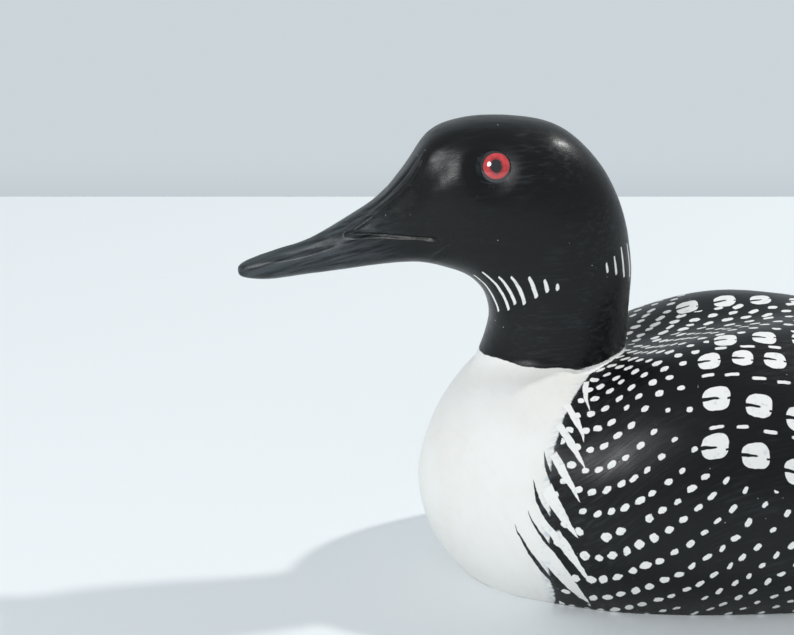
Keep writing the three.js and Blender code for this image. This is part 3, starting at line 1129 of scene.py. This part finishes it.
BLACK = (0.0035, 0.0042, 0.005)
WORN_BLACK = (0.03, 0.035, 0.04)
BILL_GREY = (0.06, 0.072, 0.08)
WHITE = (0.84, 0.835, 0.82)
CREAM = (0.77, 0.75, 0.7)
THIN_WHITE = (0.46, 0.52, 0.58)
BARE_WOOD = (0.42, 0.27, 0.14)
WOOD_RING = (0.27, 0.16, 0.08)

flank_along = hide_u * 0.28 - hide_v * 0.1
flank_across = hide_v * 0.28 + hide_u * 0.1
stroke_along = x * on_head + flank_along * on_body
stroke_across = (z + x * x * 0.8) * on_head + flank_across * on_body
streak = streaks(stroke_along, stroke_across, y, 850, 11)
patches = clouds(place, 38, 3, 0.6)
grit = clouds(place, 2600, 1)

dry = (streak - 0.47).ramp(0, 0.2) * patches.ramp(0.4, 0.72)
bill = along_head.ramp(0.2, 0.36, 1, 0) * on_head
bill_streak = streaks(x, z * 2 - x * 0.7, y, 420, 16)
near_white = (station - breast_edge).ramp(0, 2.6, 0.8, 0) * on_body * streak.ramp(0.42, 0.58)
black = tint(tree, (dry * 0.55).most(near_white), BLACK, WORN_BLACK)
black = tint(tree, bill * bill_streak.ramp(0.3, 0.68), black, BILL_GREY)
speck_near = tree.nodes.new("ShaderNodeTexVoronoi")
speck_near.inputs["Scale"].default_value = 420
tree.links.new(place.socket, speck_near.inputs["Vector"])
speck_dice = split(Field(tree, speck_near.outputs["Color"]))
speck = Field(tree, speck_near.outputs["Distance"]).ramp(0.05, 0.09, 1, 0) * speck_dice[0].above(0.9)
black = tint(tree, speck * 0.5, black, WHITE)

pits = clouds(place, 700, 2).ramp(0.7, 0.76) * clouds(place, 90, 2).ramp(0.55, 0.7)
breast_streak = streaks(flank_across, flank_along, y.above(0), 500, 7)
cream = tint(tree, patches.ramp(0.35, 0.75) * 0.6 + breast_streak.ramp(0.5, 0.7) * 0.22, WHITE, CREAM)
cream = tint(tree, pits * 0.35, cream, (0.3, 0.24, 0.17))
thin = (breast_edge - station).ramp(-0.2, 3.2, 0.75, 0) * streak.ramp(0.4, 0.62) * on_body
thin = thin * girth.ramp(30, 50, 0.5, 1)
cream = tint(tree, thin, cream, THIN_WHITE)
mark_white = tint(tree, (clouds(place, 480, 2) + ragged * 0.6).ramp(0.55, 0.8) * 0.45, WHITE, THIN_WHITE)

colour = tint(tree, white, black, cream)
colour = tint(tree, marks, colour, mark_white)
ring_wave = clouds(joined(tree, x * 0.12, y, z), 260, 3).ramp(0.35, 0.65)
wood = tint(tree, ring_wave, BARE_WOOD, WOOD_RING)
normal_z = split(Field(tree, tree.nodes.new("ShaderNodeNewGeometry").outputs["Normal"]))[2]
under = normal_z.below(-0.97) * height.below(0.15)
colour = tint(tree, under, colour, wood)
tree.links.new(colour.socket, shader.inputs["Base Color"])

pale = white.most(marks).most(under)
gloss_black = 0.3 + (streak - 0.5) * 0.32 + dry * 0.12 + grit * 0.06
roughness = gloss_black * (1 - pale) + pale * 0.5
tree.links.new(roughness.clamped().socket, shader.inputs["Roughness"])
shader.inputs["Specular IOR Level"].default_value = 0.28

relief = streak + grit * 0.35 - pits * 1.2
tree.links.new(bump(tree, relief, 0.5, 0.12).socket, shader.inputs["Normal"])
carving.data.materials.append(coat)
print("nodes in the coat:", len(tree.nodes))

# %% [markdown]
# The eye is one glass button, painted behind: a black ring, a red iris and a slightly uneven pupil. The
# glass itself is only a clear, hard gloss over that paint, so a coat on the shader stands for it.

# %% Eye glass
IRIS_RADIUS = 3.85
PUPIL_WIDE = 1.65
PUPIL_TALL = 2.1

glass, tree, shader = painted("eye_glass")
eye_u, eye_v, _ = split(inks(tree, "iris"))
eye_x = (eye_u - 0.5) * IRIS_SPAN
eye_y = (eye_v - 0.5) * IRIS_SPAN
eye_place = inks(tree, "", "OBJECT")
uneven = clouds(eye_place, 900, 2) - 0.5
radius = (eye_x * eye_x + eye_y * eye_y) ** 0.5
pupil = ((eye_x / PUPIL_WIDE) ** 2 + (eye_y / PUPIL_TALL) ** 2) ** 0.5
red = tint(tree, clouds(eye_place, 600, 3).ramp(0.3, 0.7), (0.5, 0.022, 0.03), (0.62, 0.045, 0.05))
red = tint(tree, (pupil + uneven * 0.5).ramp(1.1, 1.5, 0.6, 0), red, (0.2, 0.008, 0.01))
red = tint(tree, covered(pupil + uneven * 0.55, 1.0, 0.07), red, (0.006, 0.006, 0.008))
red = tint(tree, covered(radius + uneven * 0.25, IRIS_RADIUS, 0.09), (0.006, 0.006, 0.008), red)
tree.links.new(red.socket, shader.inputs["Base Color"])
shader.inputs["Roughness"].default_value = 0.08
shader.inputs["Coat Weight"].default_value = 1
shader.inputs["Coat Roughness"].default_value = 0.02
for eye in eyes:
    eye.data.materials.append(glass)
print("eye glass painted")

# %% [markdown]
# The set gets plain paints, so that nothing competes with the figure. The wall glows a little by itself,
# paler towards the top, which costs no lamp of its own.

# %% Set colours
surface, tree, shader = painted("table_top")
shader.inputs["Base Color"].default_value = (0.8, 0.835, 0.855, 1)
shader.inputs["Roughness"].default_value = 0.6
shader.inputs["Specular IOR Level"].default_value = 0.2
table.data.materials.append(surface)

surface, tree, shader = painted("wall_painted_glow")
wall_height = split(inks(tree, "", "OBJECT"))[2]
# painted light: the wall's own glow stands in for the light falling on it, dim just above the table and paler
# towards the top
wall_glow = tint(tree, wall_height.ramp(WALL_DARK, WALL_LIGHT), (0.4, 0.46, 0.49), (0.6, 0.66, 0.7))
tree.links.new(wall_glow.socket, shader.inputs["Emission Color"])
shader.inputs["Emission Strength"].default_value = 1
shader.inputs["Base Color"].default_value = (0, 0, 0, 1)
shader.inputs["Roughness"].default_value = 1
shader.inputs["Specular IOR Level"].default_value = 0
wall.data.materials.append(surface)
print("set painted")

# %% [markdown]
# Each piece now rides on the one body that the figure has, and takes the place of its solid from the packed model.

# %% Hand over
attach(carving, "root")
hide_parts("carved_loon")
for eye, node in zip(eyes, ("left_eye", "right_eye")):
    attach(eye, "root")
    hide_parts(node)
